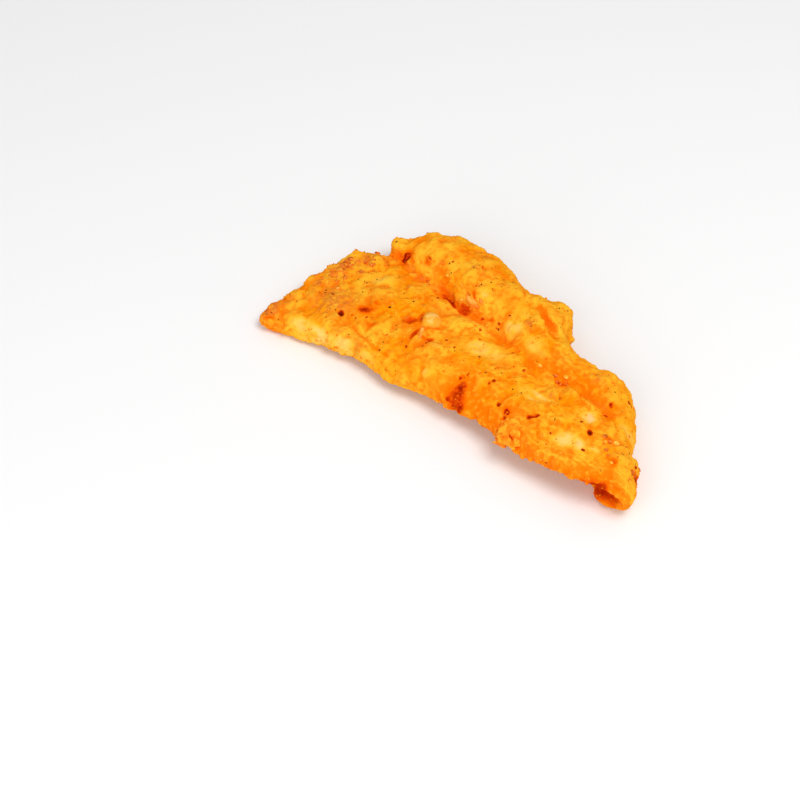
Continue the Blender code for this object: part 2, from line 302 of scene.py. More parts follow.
# A ring runs along its half widths and has a paler middle.
RINGS = (
    (-70.8, 20.6, 1.4, 1.0, 0, 0.85),
    (31.8, -23.3, 1.2, 0.9, -46, 0.75),
)
RING_WIDTH = 0.5
CHARRED_AND_GROOVE_SHADOW = (
    (-59.4, -19.6, 2.6, 2.0, 30, 0.6),
    (-57.8, 22.4, 1.1, 0.8, 0, 0.5),
    (-72.4, 20.2, 1.2, 0.9, 0, 0.75),
    (-70.8, 20.6, 2.2, 1.6, 0, 0.42),
    # Painted shadow: a thin dark line along the bottom of the groove at the head end.
    (-79.0, 18.8, 6.0, 0.6, -10, 0.4),
    (8.0, -24.8, 1.1, 0.8, 0, 0.6),
    (5.6, -28.4, 1.2, 0.8, 0, 0.5),
    (9.6, -33.4, 1.2, 0.8, 0, 0.55),
    (6.8, -30.6, 1.0, 0.8, 0, 0.5),
    # Painted shadow: two streaks in the groove's deep end, where the belly lobe's edge overhangs it.
    (-38.8, 14.0, 4.6, 1.5, -16, 0.66),
    (-34.6, 12.7, 4.4, 1.5, -24, 0.72),
    (-27.0, 12.0, 1.6, 0.8, -14, 0.5),
    (-35.4, -10.8, 1.2, 0.9, 0, 0.5),
    (-29.6, -17.4, 3.4, 1.0, 97, 0.5),
    (-33.6, -9.4, 0.8, 2.4, 30, 0.4),
    (7.0, -26.4, 2.1, 1.5, -47, 0.66),
    (9.2, -28.6, 1.7, 1.2, -30, 0.62),
    (11.2, -31.2, 1.9, 1.4, 0, 0.7),
    (4.8, -31.8, 1.6, 1.0, 10, 0.62),
    (3.5, -22.9, 1.1, 0.8, -47, 0.6),
    (5.0, -19.4, 1.0, 0.8, -47, 0.6),
    (33.5, -26.5, 1.8, 1.1, -46, 0.6),
    (42.2, -19.6, 2.2, 1.3, 44, 0.66),
    (44.4, -17.6, 1.9, 1.1, 40, 0.62),
    (62.9, 9.6, 1.1, 1.5, 30, 0.65),
    (64.6, 4.4, 1.0, 0.8, 0, 0.65),
    (90.6, -6.0, 1.1, 1.0, 0, 0.65),
    (-15.2, 12.6, 1.1, 0.8, 0, 0.5),
    (-6.4, 12.3, 1.0, 0.7, 0, 0.5),
    (38.0, 6.0, 1.6, 1.0, 10, 0.6),
)
SCORCHES = (
    (7.4, -27.0, 4.2, 3.4, -47, 1.0),
    (7.8, -30.0, 5.4, 4.4, -30, 0.95),
    (3.8, -22.0, 2.2, 1.4, -47, 0.5),
    (37.6, 5.8, 3.4, 2.0, 10, 0.85),
    (46.0, 8.6, 7.0, 1.6, -6, 0.4),
    (-58.4, -19.0, 3.6, 3.0, 30, 1.0),
    (-56.4, -13.6, 2.6, 2.0, 30, 0.5),
    (-50.8, -24.0, 4.0, 2.6, 20, 0.45),
    (-37.0, -12.0, 4.4, 2.2, 40, 0.85),
    (-34.0, -8.0, 1.8, 4.2, 30, 0.8),
    (-29.4, -17.0, 4.6, 1.7, 97, 0.95),
    (-26.0, -9.0, 4.8, 1.2, 44, 0.5),
    (-22.4, -15.8, 2.6, 1.8, 30, 0.8),
    (-70.8, 20.5, 3.4, 2.8, 0, 0.6),
    (-58.0, 22.0, 2.2, 1.6, 0, 0.5),
    (-25.5, 11.6, 3.8, 1.6, -14, 1.0),
    (-33.0, 12.0, 4.0, 1.3, -16, 0.6),
    (-25.0, 17.4, 3.6, 0.9, -14, 0.7),
    (-11.0, 12.4, 3.0, 1.2, -20, 0.5),
    (31.8, -23.3, 2.6, 2.2, -46, 0.5),
    (33.6, -26.8, 2.2, 1.6, 30, 0.8),
    (38.0, -35.0, 3.0, 2.0, 0, 0.6),
    (94.2, -9.0, 2.2, 2.6, 0, 0.7),
    (76.1, -7.5, 2.6, 1.8, 20, 0.5),
    (85.4, -15.2, 2.6, 2.0, 0, 0.6),
    (-92.0, -49.0, 3.0, 1.6, 20, 0.5),
)
STAINS = (
    (8.0, -27.0, 9.0, 7.0, 20, 1.0),
    (20.0, -28.0, 12.0, 3.6, 0, 0.8),
    (38.0, 7.0, 7.0, 4.2, 0, 1.0),
    (-57.0, -18.0, 6.0, 5.0, 20, 0.9),
    (-54.0, -10.0, 5.0, 4.0, 20, 0.6),
    (-35.0, -12.5, 7.0, 4.4, 40, 0.9),
    (-60.3, -12.3, 3.4, 2.4, 0, 0.7),
    (-42.0, 3.8, 6.0, 3.4, 10, 0.6),
    (-58.0, 22.0, 4.0, 3.0, 0, 0.8),
    (-45.8, 34.7, 4.6, 2.8, 0, 0.8),
    (-22.5, -20.0, 6.0, 3.4, 20, 0.9),
    (33.0, -23.0, 7.0, 5.0, -40, 0.9),
    (43.0, -20.0, 6.0, 4.0, 0, 0.7),
    (40.0, -31.0, 6.0, 5.0, 0, 0.9),
    (55.0, -33.5, 14.0, 3.4, 6, 0.8),
    (76.0, -30.0, 8.0, 3.6, 20, 0.8),
    (-20.0, 13.0, 9.0, 2.6, -12, 0.7),
    (4.0, 10.0, 8.0, 1.4, -15, 0.5),
    (76.5, -7.5, 4.5, 3.0, 20, 0.9),
    (85.0, -15.0, 4.0, 3.0, 0, 0.9),
    (58.0, 6.6, 9.0, 2.6, -6, 0.9),
    (66.0, 8.0, 6.0, 4.0, 30, 0.7),
    (24.0, 16.6, 4.0, 2.0, -20, 0.4),
    (45.0, 13.0, 6.0, 2.6, -10, 0.4),
    (-44.0, -32.0, 14.0, 1.2, -8, 0.6),
    (-97.0, -44.0, 6.0, 6.5, 0, 0.9),
    (10.0, 27.6, 7.0, 2.2, -24, 0.9),
    (-26.0, 28.0, 6.0, 3.0, 20, 0.6),
    (-70.0, 28.0, 7.0, 4.0, 10, 0.7),
    (-48.0, -43.0, 12.0, 3.0, -4, 0.8),
    (32.0, -33.0, 9.0, 5.0, 0, 0.9),
    (88.0, -24.0, 7.0, 6.0, 30, 1.0),
)
FLOURY = (
    (-77.3, -42.6, 7.0, 3.2, 8, 0.7),
    (-66.8, -41.0, 8.0, 3.6, 8, 0.8),
    (-55.0, -38.6, 7.0, 3.2, 8, 0.7),
    (-42.0, -37.5, 8.0, 2.6, 4, 0.5),
    (61.8, -3.2, 3.4, 2.6, 0, 1.0),
    (61.2, -19.0, 6.0, 3.6, 20, 0.8),
    (68.5, -17.5, 4.4, 3.4, 0, 0.9),
    (37.5, -7.5, 7.0, 1.6, 6, 0.8),
    (36.4, -10.6, 5.0, 1.4, 10, 0.7),
    (75.3, -15.7, 3.0, 2.2, 0, 0.6),
    (2.0, 15.0, 5.4, 4.0, 20, 0.75),
    (-2.6, -4.4, 8.0, 5.6, 20, 0.65),
    (-20.8, 20.4, 4.0, 2.4, 0, 0.55),
    (-22.6, 0.6, 5.0, 4.0, 0, 0.2),
    (16.0, 12.5, 8.0, 4.0, -10, 0.5),
    (-47.0, 14.5, 5.0, 2.4, -5, 0.4),
    (-66.0, 17.0, 5.0, 2.2, -8, 0.35),
    (5.0, -2.0, 9.0, 6.0, 10, 0.5),
    (2.0, 23.5, 7.0, 3.0, 0, 0.35),
    (30.0, -9.0, 7.0, 4.0, 10, 0.35),
    (42.0, 2.0, 6.0, 3.0, 0, 0.3),
    (-81.0, 16.5, 5.0, 3.0, 0, 0.35),
    (76.0, 6.0, 6.0, 4.0, 0, 0.55),
    (-10.5, -30.0, 2.2, 1.8, 0, 0.6),
    (-67.0, 0.0, 8.0, 4.0, 40, 0.5),
    (84.0, 8.0, 6.0, 3.0, 80, 0.5),
)
BROWNED = (
    (-89.0, -8.0, 3.4, 9.0, 6, 1.0),
    (-88.6, 0.5, 5.0, 4.0, 30, 1.0),
    (-84.0, 8.0, 4.0, 6.0, 20, 0.8),
    (-79.9, -1.0, 3.4, 2.6, 0, 0.7),
    (-89.0, -20.0, 2.6, 7.0, 4, 0.8),
    (-93.0, -34.0, 3.0, 8.0, 10, 0.6),
    (-96.0, -46.0, 7.0, 6.0, 0, 1.0),
    (-57.0, 14.8, 5.0, 1.6, 6, 0.8),
    (-54.2, 4.7, 2.6, 2.0, 0, 0.9),
    (-51.5, 23.8, 1.8, 1.4, 0, 0.9),
    (-39.8, -11.7, 2.0, 1.2, 40, 0.9),
    (-17.0, -16.9, 3.2, 1.6, 10, 0.7),
    (-35.4, 29.6, 3.0, 2.0, 0, 0.8),
    (-26.1, 22.8, 2.0, 1.4, 0, 0.7),
    (-29.2, 27.6, 2.2, 1.4, 0, 0.7),
    (-19.6, 29.2, 2.6, 1.6, 0, 0.7),
    (-40.8, 39.6, 4.0, 1.6, 0, 0.7),
    (-68.8, 33.4, 4.0, 1.6, 10, 0.6),
    (6.4, 20.7, 3.0, 2.0, 0, 0.8),
    (21.2, 10.8, 3.0, 1.6, 0, 0.7),
    (40.6, -3.9, 3.4, 2.0, 0, 0.6),
    (-75.0, -24.0, 17.0, 13.0, 0, 0.7),
    (-52.0, -40.0, 15.0, 7.0, -4, 1.0),
    (34.0, 15.0, 6.0, 3.0, -10, 0.45),
    (50.0, 16.0, 8.0, 4.0, 0, 0.5),
    (62.0, 6.0, 7.0, 3.4, 0, 0.45),
    (74.0, 24.0, 9.0, 4.0, -30, 0.6),
    (93.0, 0.0, 3.0, 9.0, 0, 0.6),
)


def wandering(points, width, reach, seed):
    """Points moved about a little, so that what is drawn on them gets a ragged outline."""
    moves = [soft_noise(points, (width, width, width), seed + number) for number in range(3)]
    return points + reach * np.transpose(moves)


def patches_at(rows, places):
    """The strongest of the patches at each place, seen from above."""
    return np.max([share * ellipse(places, *patch) for *patch, share in rows], axis=0)


def rings_at(rows, places):
    """As patches_at, strongest on each ellipse and fading inwards and outwards."""
    strengths = []
    for *ring, share in rows:
        distance = np.sqrt(-np.log(np.maximum(ellipse(places, *ring), TINY)))
        strengths.append(share * np.exp(-((distance - 1) / RING_WIDTH) ** 2))
    return np.max(strengths, axis=0)


ragged_places = wandering(points, 4.5, 2.0, 21)
crumbly_places = wandering(points, 1.5, 0.8, 24)
charred_and_groove_shadow = np.maximum(patches_at(PITS, points), rings_at(RINGS, (points + crumbly_places) / 2))
charred_and_groove_shadow = np.maximum(charred_and_groove_shadow, patches_at(CHARRED_AND_GROOVE_SHADOW, crumbly_places))
store_mask(crust, "charred_and_groove_shadow", charred_and_groove_shadow * seen_from_above)
for name, rows in (("scorch", SCORCHES), ("stain", STAINS), ("floury", FLOURY), ("browned", BROWNED)):
    store_mask(crust, name, patches_at(rows, ragged_places) * seen_from_above)

# Painted shade: the belly's flank from the middle to the tail, where it faces sideways, is painted deeper
# orange. The plump corner fries deeper than the top.
DEEP_CORNER_RADIUS = 13.0
shaded_near_side = np.clip(-normals[:, 1] * 2.2 - 0.15, 0, 1) * np.clip((points[:, 0] + 25) / 40, 0, 1)
deep_corner = np.exp(-((from_nose / DEEP_CORNER_RADIUS) ** 2))
store_mask(crust, "flank_shade_and_fried_corner", np.maximum(shaded_near_side, deep_corner))
store_mask(crust, "creased", np.max(creases, axis=0))
store_mask(crust, "swollen", swollen)

# Painted shade inside the turned-over tail corner: the skin there is painted darker, as (x, y, z, radius,
# share).
FOLD_SHADE = (
    (83.6, -25.6, 16.0, 4.6, 1.0),
    (86.6, -25.0, 16.4, 3.2, 1.0),
    (81.6, -20.6, 5.6, 3.4, 0.9),
    (84.6, -19.4, 8.0, 4.4, 0.95),
    (88.2, -18.8, 8.6, 3.6, 0.8),
    (90.8, -19.8, 8.2, 3.6, 0.55),
)
fold_shade_mask = np.zeros(len(points))
for x, y, z, radius, share in FOLD_SHADE:
    fold_shade_mask = np.maximum(fold_shade_mask, share * np.exp(-(((ragged_places - (x, y, z)) / radius) ** 2).sum(1)))
store_mask(crust, "fold_shade_mask", fold_shade_mask)


def linked_or_set(tree, socket, value):
    if isinstance(value, bpy.types.NodeSocket):
        tree.links.new(value, socket)
    else:
        socket.default_value = value


def mix(tree, factor, low, high):
    made = tree.nodes.new("ShaderNodeMix")
    made.data_type = "RGBA"
    for number, value in ((0, factor), (6, low), (7, high)):
        linked_or_set(tree, made.inputs[number], value)
    return made.outputs[2]


def ramp(tree, value, low, high, top=1.0):
    """Takes a value from low to high to a mask from 0 to top."""
    made = tree.nodes.new("ShaderNodeMapRange")
    made.interpolation_type = "SMOOTHSTEP"
    for name, given in (("Value", value), ("From Min", low), ("From Max", high), ("To Max", top)):
        linked_or_set(tree, made.inputs[name], given)
    return made.outputs["Result"]


def combine(tree, operation, a, b):
    made = tree.nodes.new("ShaderNodeMath")
    made.operation = operation
    linked_or_set(tree, made.inputs[0], a)
    linked_or_set(tree, made.inputs[1], b)
    return made.outputs[0]


def attribute(tree, name):
    made = tree.nodes.new("ShaderNodeAttribute")
    made.attribute_name = name
    return made.outputs["Fac"]


def build_soft_spots():
    """A group that puts out a mask of soft spots, about as wide as given in millimetres."""
    group = bpy.data.node_groups.new("soft spots", "ShaderNodeTree")
    group.interface.new_socket(name="Place", in_out="INPUT", socket_type="NodeSocketVector")
    for name in ("Width", "Low", "High", "Seed", "Top"):
        group.interface.new_socket(name=name, in_out="INPUT", socket_type="NodeSocketFloat")
    group.interface.new_socket(name="Mask", in_out="OUTPUT", socket_type="NodeSocketFloat")
    given = group.nodes.new("NodeGroupInput").outputs
    spots = group.nodes.new("ShaderNodeTexNoise")
    spots.noise_dimensions = "4D"
    spots.inputs["Detail"].default_value = 2.0
    group.links.new(given["Place"], spots.inputs["Vector"])
    group.links.new(combine(group, "DIVIDE", 1 / MM, given["Width"]), spots.inputs["Scale"])
    group.links.new(given["Seed"], spots.inputs["W"])
    mask = ramp(group, spots.outputs["Fac"], given["Low"], given["High"], given["Top"])
    group.links.new(mask, group.nodes.new("NodeGroupOutput").inputs["Mask"])
    return group


soft_spots = build_soft_spots()


def spots_mask(tree, width, low, high, seed, top=1.0):
    """Places the soft spots in a material, on its object coordinates."""
    coordinates = tree.nodes.get("Texture Coordinate") or tree.nodes.new("ShaderNodeTexCoord")
    made = tree.nodes.new("ShaderNodeGroup")
    made.node_tree = soft_spots
    tree.links.new(coordinates.outputs["Object"], made.inputs["Place"])
    for name, value in (("Width", width), ("Low", low), ("High", high), ("Seed", seed), ("Top", top)):
        made.inputs[name].default_value = value
    return made.outputs["Mask"]


def broken(tree, mask, *spots):
    """A mask broken up by soft spots, given as for spots_mask."""
    return combine(tree, "MULTIPLY", mask, spots_mask(tree, *spots))


GOLD = 1.0, 0.49, 0.026, 1
AMBER = 0.98, 0.31, 0.002, 1
ORANGE = 0.95, 0.175, 0.001, 1
EMBER = 0.78, 0.085, 0.001, 1
RUST = 0.60, 0.042, 0.001, 1
DARK_RED = 0.34, 0.014, 0.001, 1
CHAR = 0.10, 0.012, 0.004, 1
CREAM = 1.0, 0.58, 0.14, 1
PALE_FLOUR = 1.0, 0.60, 0.26, 1
PEACH = 1.0, 0.39, 0.032, 1
TAN = 0.76, 0.20, 0.022, 1
TOASTED = 0.78, 0.20, 0.010, 1
CRUSTY_BROWN = 0.50, 0.078, 0.007, 1
CRUST_ROUGHNESS = 0.6
GRIT_DEPTH = 0.32 * MM
GRIT_STRENGTH = 0.65

crust_material = bpy.data.materials.new("fried flour crust")
crust_material.use_nodes = True
tree = crust_material.node_tree
shader = tree.nodes["Principled BSDF"]
fine, broad = attribute(tree, "hollow_fine"), attribute(tree, "hollow_broad")
# Broad fields of gold and orange. Gold on the crowns is painted light, and orange in the hollows is painted
# shade.
colour = mix(tree, spots_mask(tree, 15, 0.38, 0.64, 1), AMBER, GOLD)
colour = mix(tree, spots_mask(tree, 8, 0.44, 0.70, 2, 0.8), colour, ORANGE)
colour = mix(tree, ramp(tree, broad, 0.0, -1.0, 0.8), colour, GOLD)
colour = mix(tree, ramp(tree, broad, 0.0, 1.2, 0.65), colour, ORANGE)
colour = mix(tree, ramp(tree, attribute(tree, "stain"), 0.1, 0.9, 0.9), colour, ORANGE)
# Orange painted shade on the belly's flank, and the deeper fried corner.
flank_shade_and_corner = broken(tree, attribute(tree, "flank_shade_and_fried_corner"), 6, 0.1, 0.5, 13)
colour = mix(tree, ramp(tree, flank_shade_and_corner, 0.05, 0.75, 0.8), colour, ORANGE)
# Small spots everywhere, and the browned places.
colour = mix(tree, spots_mask(tree, 2.6, 0.48, 0.72, 10, 0.5), colour, ORANGE)
colour = mix(tree, spots_mask(tree, 2.2, 0.5, 0.75, 11, 0.5), colour, GOLD)
colour = mix(tree, spots_mask(tree, 1.4, 0.52, 0.74, 12, 0.45), colour, TOASTED)
brown = attribute(tree, "browned")
colour = mix(tree, broken(tree, ramp(tree, brown, 0.1, 0.9), 2.6, 0.34, 0.58, 8), colour, TAN)
colour = mix(tree, broken(tree, ramp(tree, brown, 0.3, 1.0), 1.3, 0.5, 0.66, 14, 0.8), colour, CRUSTY_BROWN)
# Painted shade and painted light at a small scale: orange in the fine hollows, gold on the fine crowns.
colour = mix(tree, ramp(tree, fine, 0.04, 0.22, 0.6), colour, ORANGE)
colour = mix(tree, ramp(tree, fine, -0.04, -0.25, 0.3), colour, GOLD)
# Pale flour. Orange in its cracks and in the creases, and rust in the deepest hollows such as the groove, is
# painted shade.
floury = attribute(tree, "floury")
colour = mix(tree, ramp(tree, floury, 0.05, 0.5, 0.9), colour, GOLD)
colour = mix(tree, broken(tree, ramp(tree, floury, 0.25, 0.9), 3, 0.25, 0.55, 4), colour, CREAM)
colour = mix(tree, ramp(tree, floury, 0.72, 1.0, 0.75), colour, PALE_FLOUR)
colour = mix(tree, ramp(tree, fine, 0.06, 0.3, 0.25), colour, ORANGE)
colour = mix(tree, ramp(tree, attribute(tree, "creased"), 0.9, 2.4, 0.4), colour, ORANGE)
colour = mix(tree, ramp(tree, broad, 1.6, 3.0, 0.8), colour, RUST)
# Scorches, from orange at the rim to dark red specks, and the shade inside the fold.
burn = attribute(tree, "scorch")
colour = mix(tree, ramp(tree, burn, 0.08, 0.45), colour, ORANGE)
colour = mix(tree, broken(tree, ramp(tree, burn, 0.25, 0.65), 2.6, 0.26, 0.5, 5), colour, EMBER)
colour = mix(tree, broken(tree, ramp(tree, burn, 0.45, 0.9), 1.7, 0.42, 0.58, 6), colour, RUST)
colour = mix(tree, broken(tree, ramp(tree, burn, 0.35, 0.8), 0.9, 0.53, 0.64, 15, 0.85), colour, DARK_RED)
fold_shade_mask = attribute(tree, "fold_shade_mask")
colour = mix(tree, ramp(tree, fold_shade_mask, 0.04, 0.3), colour, ORANGE)
colour = mix(tree, ramp(tree, fold_shade_mask, 0.12, 0.5), colour, EMBER)
colour = mix(tree, ramp(tree, fold_shade_mask, 0.4, 0.8), colour, RUST)
colour = mix(tree, ramp(tree, fold_shade_mask, 0.5, 0.95, 0.6), colour, DARK_RED)
# Pale blisters, burnt spots, painted shadow in the groove, and a few rusty dots.
swell = attribute(tree, "swollen")
colour = mix(tree, ramp(tree, swell, 0.5, 1.3, 0.9), colour, PEACH)
colour = mix(tree, broken(tree, ramp(tree, swell, 1.3, 1.8), 3.4, 0.42, 0.62, 16, 0.85), colour, CREAM)
burnt_and_groove_shadow = attribute(tree, "charred_and_groove_shadow")
colour = mix(tree, ramp(tree, burnt_and_groove_shadow, 0.18, 0.42, 0.95), colour, RUST)
colour = mix(tree, ramp(tree, burnt_and_groove_shadow, 0.4, 0.6), colour, DARK_RED)
colour = mix(tree, ramp(tree, burnt_and_groove_shadow, 0.62, 0.85, 0.95), colour, CHAR)
colour = mix(tree, spots_mask(tree, 1.0, 0.69, 0.78, 7, 0.5), colour, RUST)
tree.links.new(colour, shader.inputs["Base Color"])
shader.inputs["Roughness"].default_value = CRUST_ROUGHNESS
shader.inputs["Specular IOR Level"].default_value = 0.0
bump = tree.nodes.new("ShaderNodeBump")
bump.inputs["Distance"].default_value = GRIT_DEPTH
bump.inputs["Strength"].default_value = GRIT_STRENGTH
tree.links.new(spots_mask(tree, 0.9, 0.2, 0.8, 9), bump.inputs["Height"])
tree.links.new(bump.outputs["Normal"], shader.inputs["Normal"])
crust.data.materials.clear()
crust.data.materials.append(crust_material)
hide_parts("fillet")
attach(crust, "root")


# Drips and slivers of dough. Wet flour that hung from the fish set into small tongues and beads that stand
# on the crust. Each is a rounded, uneven drop pressed into the skin.
DOUGH_SEED = 5
DROP_SUNK = 0.3
DROP_ROUGHNESS = 0.35
DROP_ROUNDS = 3
ABOVE_ALL = 90


def skin_spot(item, x, y, z=None):
    """The place and normal of the skin above (x, y), or nearest to (x, y, z), in millimetres."""
    if z is None:
        _, spot, normal, _ = item.ray_cast(Vector((x, y, ABOVE_ALL)) * MM, Vector((0, 0, -1)))
    else:
        _, spot, normal, _ = item.closest_point_on_mesh(Vector((x, y, z)) * MM)
    return spot, normal


def lying(normal, heading):
    """Turns a piece so that its Z follows the skin's normal, and its X the heading in degrees."""
    along = Vector((math.cos(math.radians(heading)), math.sin(math.radians(heading)), 0))
    across = normal.cross(along).normalized()
    return Matrix((across.cross(normal), across, normal)).transposed().to_4x4()


def add_chip(shape, place, normal, size, heading, sunk, draws, roughness, rounds=1):
    """Adds an uneven closed lump that lies on a skin. Its size is its length, width and height."""
    made = bmesh.ops.create_icosphere(shape, subdivisions=rounds, radius=0.5)
    seed = Vector(draws.uniform(0, 99, 3))
    move = Matrix.Translation(place + normal * (0.5 - sunk) * size[2] * MM)
    form = move @ lying(normal, heading) @ Matrix.Diagonal((*(part * MM for part in size), 1))
    for corner in made["verts"]:
        corner.co = form @ (corner.co * (1 + roughness * noise.noise(corner.co * 2.5 + seed)))


def finish_chips(name, shape, material):
    mesh = bpy.data.meshes.new(name)
    shape.to_mesh(mesh)
    shape.free()
    mesh.shade_smooth()
    mesh.materials.append(material)
    item = bpy.data.objects.new(name, mesh)
    bpy.context.scene.collection.objects.link(item)
    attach(item, "root")


def mottled_material(name, dark, light, width, roughness):
    """A matt surface that wavers between two colours in spots about as wide as given, in millimetres."""
    made = bpy.data.materials.new(name)
    made.use_nodes = True
    surface = made.node_tree.nodes["Principled BSDF"]
    blend = mix(made.node_tree, spots_mask(made.node_tree, width, 0.35, 0.65, 3), dark, light)
    made.node_tree.links.new(blend, surface.inputs["Base Color"])
    surface.inputs["Roughness"].default_value = roughness
    surface.inputs["Specular IOR Level"].default_value = 0.05
    return made


# Rows of (x, y, length, width, height, heading).
PALE_DROPS = (
    (-27.2, -15.3, 7.6, 1.9, 1.5, -60),
    (-23.2, 14.3, 8.6, 3.0, 2.6, -14),
    (-20.2, 16.8, 4.0, 1.6, 1.4, -30),
    (-79.2, -16.9, 1.7, 0.9, 1.0, 60),
)
YELLOW_DROPS = (
    (-30.1, 14.6, 2.2, 1.8, 1.4, 0),
    (37.5, 9.3, 2.4, 2.0, 1.5, 20),
    (24.4, 6.7, 1.9, 1.6, 1.3, 0),
    (78.9, -6.0, 3.0, 2.4, 1.7, 30),
    (75.6, -9.4, 1.6, 1.2, 0.9, 0),
    (85.0, -16.6, 1.8, 1.3, 1.0, 0),
    (-44.0, 20.0, 1.8, 1.2, 0.9, 40),
)
# The crag on the belly edge, where flour caked thick: heaps of lumps, as (x, y, z, spread, count).
CRAG_HEAPS = (
    (36.4, -29.2, 21.0, 1.0, 3),
    (39.2, -28.8, 20.6, 1.4, 6),
    (36.6, -31.4, 18.8, 1.5, 4),
    (41.0, -31.0, 18.8, 1.8, 6),
    (43.6, -32.8, 16.6, 1.6, 5),
    (39.6, -34.4, 14.8, 1.6, 4),
)
CRAG_SIZE = 3.0, 7.0
CRAG_SKEW = 1.4
CRAG_ROUGHNESS = 0.8
draws = np.random.default_rng(DOUGH_SEED)
pale_drops, yellow_drops, crag = bmesh.new(), bmesh.new(), bmesh.new()
bpy.context.view_layer.update()
for shape, rows in ((pale_drops, PALE_DROPS), (yellow_drops, YELLOW_DROPS)):
    for x, y, *size, heading in rows:
        spot, normal = skin_spot(crust, x, y)
        add_chip(shape, spot, normal, size, heading, DROP_SUNK, draws, DROP_ROUGHNESS, DROP_ROUNDS)
for *centre, spread, count in CRAG_HEAPS:
    for _ in range(count):
        spot, normal = skin_spot(crust, *(part + spread * draws.normal() for part in centre))
        length = CRAG_SIZE[0] + (CRAG_SIZE[1] - CRAG_SIZE[0]) * draws.random() ** CRAG_SKEW
        size = length, length * draws.uniform(0.6, 0.9), length * draws.uniform(0.4, 0.6)
        heading = draws.uniform(0, 360)
        add_chip(crag, spot, normal, size, heading, DROP_SUNK, draws, CRAG_ROUGHNESS, DROP_ROUNDS)
PINK_DOUGH = 0.95, 0.24, 0.020, 1
PALE_DOUGH = 1.0, 0.44, 0.070, 1
finish_chips("dough_slivers", pale_drops, mottled_material("pale dough", PINK_DOUGH, PALE_DOUGH, 3, 0.55))
YELLOW_DEEP = 0.98, 0.34, 0.006, 1
YELLOW_PALE = 1.0, 0.62, 0.10, 1
finish_chips("dough_beads", yellow_drops, mottled_material("yellow dough", YELLOW_DEEP, YELLOW_PALE, 2, 0.55))
CRAG_DEEP = 0.95, 0.19, 0.002, 1
CRAG_PALE = 1.0, 0.44, 0.022, 1
finish_chips("belly_crag", crag, mottled_material("caked flour", CRAG_DEEP, CRAG_PALE, 4, 0.55))


# Pepper from the seasoned flour: dark flakes a millimetre across or less, fried into the skin. Each is a
# small uneven chip that lies partly sunk in the crust. One row of random draws serves all that is scattered.
SCATTER_SEED = 11
PEPPER_COUNT = 320
PEPPER_SIZE = 0.35, 1.3
CLEAR_OF_TABLE = 2.0


def scatter(item, count, draws, weight):
    """Random places on an object's skin, as (place, normal) in metres, clear of the table."""
    mesh = item.data
    areas = np.empty(len(mesh.polygons), np.float32)
    centres = np.empty(len(mesh.polygons) * 3, np.float32)
    facing = np.empty(len(mesh.polygons) * 3, np.float32)
    mesh.polygons.foreach_get("area", areas)
    mesh.polygons.foreach_get("center", centres)
    mesh.polygons.foreach_get("normal", facing)
    centres, facing = centres.reshape(-1, 3) / MM, facing.reshape(-1, 3)
    shares = areas * weight(centres, facing) * (centres[:, 2] > CLEAR_OF_TABLE)
    for number in draws.choice(len(shares), count, p=shares / shares.sum()):
        face = mesh.polygons[int(number)]
        yield face.center.copy(), face.normal.copy()


# Where the pepper lies thickest, as (x, y, radius).
PEPPER_CLUSTERS = (
    (6.0, 21.1, 4.0), (-36.0, 30.2, 5.0), (-19.6, 29.2, 4.0), (-22.7, 36.9, 4.0), (-26.5, 22.5, 4.0),
    (42.5, -3.3, 3.0), (-52.0, -2.0, 5.0), (-72.0, -8.0, 5.0), (62.0, 14.0, 6.0), (10.0, -6.0, 5.0),
)


def clustered(centres, facing):
    """Pepper lies thicker in some places than in others."""
    shares = np.array([max(0.12, 0.5 + 1.6 * noise.noise(Vector(centre) / 9)) for centre in centres])
    for x, y, radius in PEPPER_CLUSTERS:
        shares += 3.0 * ellipse(centres, x, y, radius, radius, 0) * (facing[:, 2] > 0)
    return shares


def add_scattered(shape, count, sizes, skew, width, height, sunk, draws, roughness, weight):
    """Adds chips of sizes between two lengths, most of them small, in shares of width and height."""
    for place, normal in scatter(crust, count, draws, weight):
        length = sizes[0] + (sizes[1] - sizes[0]) * draws.random() ** skew
        size = length, length * draws.uniform(*width), length * height
        add_chip(shape, place, normal, size, draws.uniform(0, 360), sunk, draws, roughness)


draws = np.random.default_rng(SCATTER_SEED)
pepper = bmesh.new()
add_scattered(pepper, PEPPER_COUNT, PEPPER_SIZE, 2.6, (0.5, 0.95), 0.5, 0.3, draws, 0.9, clustered)
PEPPER_DARK = 0.08, 0.025, 0.004, 1
PEPPER_LIGHT = 0.38, 0.13, 0.010, 1
finish_chips("pepper_specks", pepper, mottled_material("black pepper", PEPPER_DARK, PEPPER_LIGHT, 3, 0.6))


# Dried herbs from the same seasoning: thin olive-brown flecks, longer than they are wide.
HERB_COUNT = 220
HERB_SIZE = 0.5, 1.6
herbs = bmesh.new()
add_scattered(herbs, HERB_COUNT, HERB_SIZE, 2.2, (0.3, 0.55), 0.25, 0.3, draws, 0.8, clustered)
HERB_DARK = 0.24, 0.095, 0.006, 1
HERB_LIGHT = 0.55, 0.21, 0.010, 1
finish_chips("herb_flecks", herbs, mottled_material("dried herbs", HERB_DARK, HERB_LIGHT, 4, 0.6))


# Paprika flakes from the same seasoning, which are red-brown and a little larger.
PAPRIKA_COUNT = 180
PAPRIKA_SIZE = 0.6, 1.9
paprika = bmesh.new()
add_scattered(paprika, PAPRIKA_COUNT, PAPRIKA_SIZE, 2.2, (0.45, 0.9), 0.35, 0.35, draws, 0.9, clustered)
PAPRIKA_DARK = 0.40, 0.022, 0.002, 1
PAPRIKA_LIGHT = 0.80, 0.11, 0.003, 1
finish_chips("paprika_flakes", paprika, mottled_material("paprika", PAPRIKA_DARK, PAPRIKA_LIGHT, 5, 0.6))


